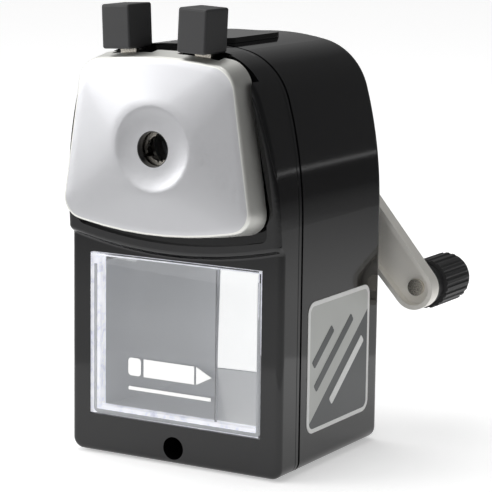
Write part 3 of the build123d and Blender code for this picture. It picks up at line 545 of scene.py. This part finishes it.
def make_side_label():
    """Foil label with a border and a dark lower corner; its plain slanted bars are made by
    make_label_bar.
    """
    centre = (label_low + label_high) / 2
    size = label_high - label_low
    label = begin(bpy.ops.mesh.primitive_plane_add, size=1, location=(0, 0, 0), rotation=(0, pi / 2, 0))
    bpy.ops.transform.resize(value=(1, size.y, size.z), center_override=(0, 0, 0))
    bpy.ops.transform.translate(value=(label_low.x, centre.y, centre.z))
    bpy.ops.mesh.bevel(offset=label_corner, segments=8, affect="VERTICES")
    pick(label, "FACE", lambda f: True)
    bpy.ops.mesh.extrude_region_move(TRANSFORM_OT_translate={"value": (label_thickness, 0, 0)})
    bpy.ops.mesh.inset(thickness=label_border)
    bpy.ops.mesh.bisect(plane_co=centre - label_drop, plane_no=label_across)
    bpy.ops.mesh.select_all(action="SELECT")
    bpy.ops.mesh.normals_make_consistent(inside=False)
    finish_piece(label, "label_foil", "casing", [label_edge, label_silver, label_dark])
    for polygon in label.data.polygons:
        if polygon.normal.x > 0.9 and polygon.area > size.y * size.z / 4:
            above = (polygon.center - centre + label_drop).dot(label_across) > 0
            polygon.material_index = 1 if above else 2
    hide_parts("side_label")


def make_label_bar(name, shift_along, shift_across, length, finish):
    """Plain raised bar that stands where a line of print would be, along the label's slant."""
    centre = (label_low + label_high) / 2
    middle_point = centre + label_along * shift_along + label_across * shift_across
    bar = begin(bpy.ops.mesh.primitive_plane_add, size=1, location=(0, 0, 0), rotation=(0, pi / 2, 0))
    bpy.ops.transform.resize(value=(1, length, bar_height), center_override=(0, 0, 0))
    bpy.ops.mesh.bevel(offset=0.5 * mm, segments=4, affect="VERTICES")
    pick(bar, "FACE", lambda f: True)
    bpy.ops.mesh.extrude_region_move(TRANSFORM_OT_translate={"value": (bar_rise, 0, 0)})
    bpy.ops.object.mode_set(mode="OBJECT")
    basis = Matrix((Vector((1, 0, 0)), label_along, label_across)).transposed().to_4x4()
    bar.data.transform(Matrix.Translation(middle_point + Vector((label_thickness / 2, 0, 0))) @ basis)
    bar.matrix_world = Matrix.Identity(4)
    bpy.ops.object.mode_set(mode="EDIT")
    bpy.ops.mesh.select_all(action="SELECT")
    bpy.ops.mesh.normals_make_consistent(inside=False)
    finish_piece(bar, name, "casing", [finish])


make_face_plate()
make_drawer_window()
make_drawer_edge()
make_drawer_rib()
make_drawer_bin()
make_side_label()
make_label_bar("label_bar_upper", -4.0 * mm, 9.0 * mm, 13.0 * mm, label_dark)
make_label_bar("label_bar_middle", -1.0 * mm, 3.4 * mm, 25.0 * mm, label_dark)
make_label_bar("label_bar_lower", 1.0 * mm, -5.6 * mm, 22.0 * mm, label_edge)

# ---- Floor, light and camera ----------------------------------------------------------------
camera_azimuth = radians(30.09)
camera_elevation = radians(9.95)
camera_roll = radians(0.73)
camera_distance = 0.5967
camera_target = Vector((3.22, 3.3, 52.75)) * mm
lens = 167.8


def make_camera():
    """Camera on a sphere about its target, with a slight roll."""
    data = bpy.data.cameras.new("camera")
    data.lens = lens
    data.sensor_width = 36.0
    data.clip_start = 0.01
    camera = bpy.data.objects.new("camera", data)
    bpy.context.scene.collection.objects.link(camera)
    back = Vector((sin(camera_azimuth) * cos(camera_elevation),
                   -cos(camera_azimuth) * cos(camera_elevation), sin(camera_elevation)))
    right = Vector((0, 0, 1)).cross(back).normalized()
    up = back.cross(right)
    turned_right = right * cos(camera_roll) + up * sin(camera_roll)
    turned_up = up * cos(camera_roll) - right * sin(camera_roll)
    place = Matrix((turned_right, turned_up, back)).transposed().to_4x4()
    place.translation = camera_target + back * camera_distance
    camera.matrix_world = place
    bpy.context.scene.camera = camera


def soft_light(name, place, size, power):
    """Square area light that faces light_aim."""
    data = bpy.data.lights.new(name, "AREA")
    data.shape = "RECTANGLE"
    data.size = size
    data.size_y = size
    data.energy = power
    light = bpy.data.objects.new(name, data)
    bpy.context.scene.collection.objects.link(light)
    away = (Vector(place) - light_aim).normalized()
    light.matrix_world = Matrix.Translation(place) @ away.to_track_quat("Z", "Y").to_matrix().to_4x4()


floor_glow = 0.42
surround_inner = 0.14
surround_outer = 4.0
surround_fade = ((0.14, 1.0), (0.24, 0.95), (0.34, 0.68), (0.48, 0.32), (0.80, 0.14))
world_facing = (-0.80, -0.45, 0.42)
world_dark = 0.12
world_front = 0.30
world_left = 1.0
key_power = 4.5
key_place = (-0.85, -0.65, 0.35)
key_size = 0.6
top_power = 2.0
top_place = (-0.15, 0.1, 0.9)
top_size = 0.7
light_aim = Vector((0, 0, 0.06))
floor_size = 12.0
surround_lift = 1 * mm


def make_floor():
    """White paper floor with a slight glow, so that it reaches the edge of the frame as white."""
    bpy.ops.object.select_all(action="DESELECT")
    bpy.ops.mesh.primitive_plane_add(size=floor_size, location=(0, 0, 0))
    floor = bpy.context.object
    floor.name = "floor"
    material, tree, shader = new_material("floor_paper")
    shader.inputs["Base Color"].default_value = (0.93, 0.93, 0.93, 1)
    shader.inputs["Roughness"].default_value = 0.9
    shader.inputs["Specular IOR Level"].default_value = 0.1
    shader.inputs["Emission Color"].default_value = (1, 1, 1, 1)
    shader.inputs["Emission Strength"].default_value = floor_glow
    floor.data.materials.append(material)


def make_surround():
    """Grey ring on the studio floor, seen only in reflections, so that the gloss has some contrast."""
    ring = begin(bpy.ops.mesh.primitive_circle_add, vertices=64, radius=surround_outer, fill_type="NGON",
                 location=(0, 0, surround_lift))
    bpy.ops.mesh.inset(thickness=surround_outer - surround_inner)
    bpy.ops.mesh.delete(type="FACE")
    bpy.ops.object.mode_set(mode="OBJECT")
    ring.name = "studio_surround"
    material, tree, shader = new_material("surround_grey")
    away = tree.nodes.new("ShaderNodeVectorMath")
    away.operation = "LENGTH"
    tree.links.new(object_coordinates(tree), away.inputs[0])
    fade = tree.nodes.new("ShaderNodeValToRGB")
    for place, tone in surround_fade:
        stop = fade.color_ramp.elements.new(place)
        stop.color = (tone, tone, tone, 1)
    fade.color_ramp.elements[-1].color = stop.color
    tree.links.new(away.outputs["Value"], fade.inputs["Fac"])
    tree.links.new(fade.outputs["Color"], shader.inputs["Base Color"])
    shader.inputs["Roughness"].default_value = 1.0
    shader.inputs["Specular IOR Level"].default_value = 0.0
    ring.data.materials.append(material)
    ring.visible_camera = False
    ring.visible_diffuse = False
    ring.visible_transmission = False
    ring.visible_shadow = False


def make_world():
    """Soft studio: light at the left and above, darker in front and to the right."""
    world = bpy.data.worlds.new("studio")
    bpy.context.scene.world = world
    world.use_nodes = True
    tree = world.node_tree
    background = tree.nodes["Background"]
    where = tree.nodes.new("ShaderNodeTexCoord")
    facing = tree.nodes.new("ShaderNodeVectorMath")
    facing.operation = "DOT_PRODUCT"
    facing.inputs[1].default_value = Vector(world_facing).normalized()
    tree.links.new(where.outputs["Generated"], facing.inputs[0])
    ramp = tree.nodes.new("ShaderNodeValToRGB")
    stops = ramp.color_ramp.elements
    for place, tone in ((0.40, world_dark), (0.58, world_front), (0.80, world_left)):
        stop = stops.new(place)
        stop.color = (tone, tone, tone, 1)
    stops[0].color = (world_dark, world_dark, world_dark, 1)
    stops[-1].color = (world_left, world_left, world_left, 1)
    spread = tree.nodes.new("ShaderNodeMath")
    spread.operation = "MULTIPLY_ADD"
    spread.inputs[1].default_value = 0.5
    spread.inputs[2].default_value = 0.5
    tree.links.new(facing.outputs["Value"], spread.inputs[0])
    tree.links.new(spread.outputs[0], ramp.inputs["Fac"])
    tree.links.new(ramp.outputs["Color"], background.inputs["Color"])


make_camera()
make_floor()
make_surround()
make_world()
soft_light("key", key_place, key_size, key_power)
soft_light("top", top_place, top_size, top_power)
bpy.context.scene.view_settings.view_transform = "Standard"
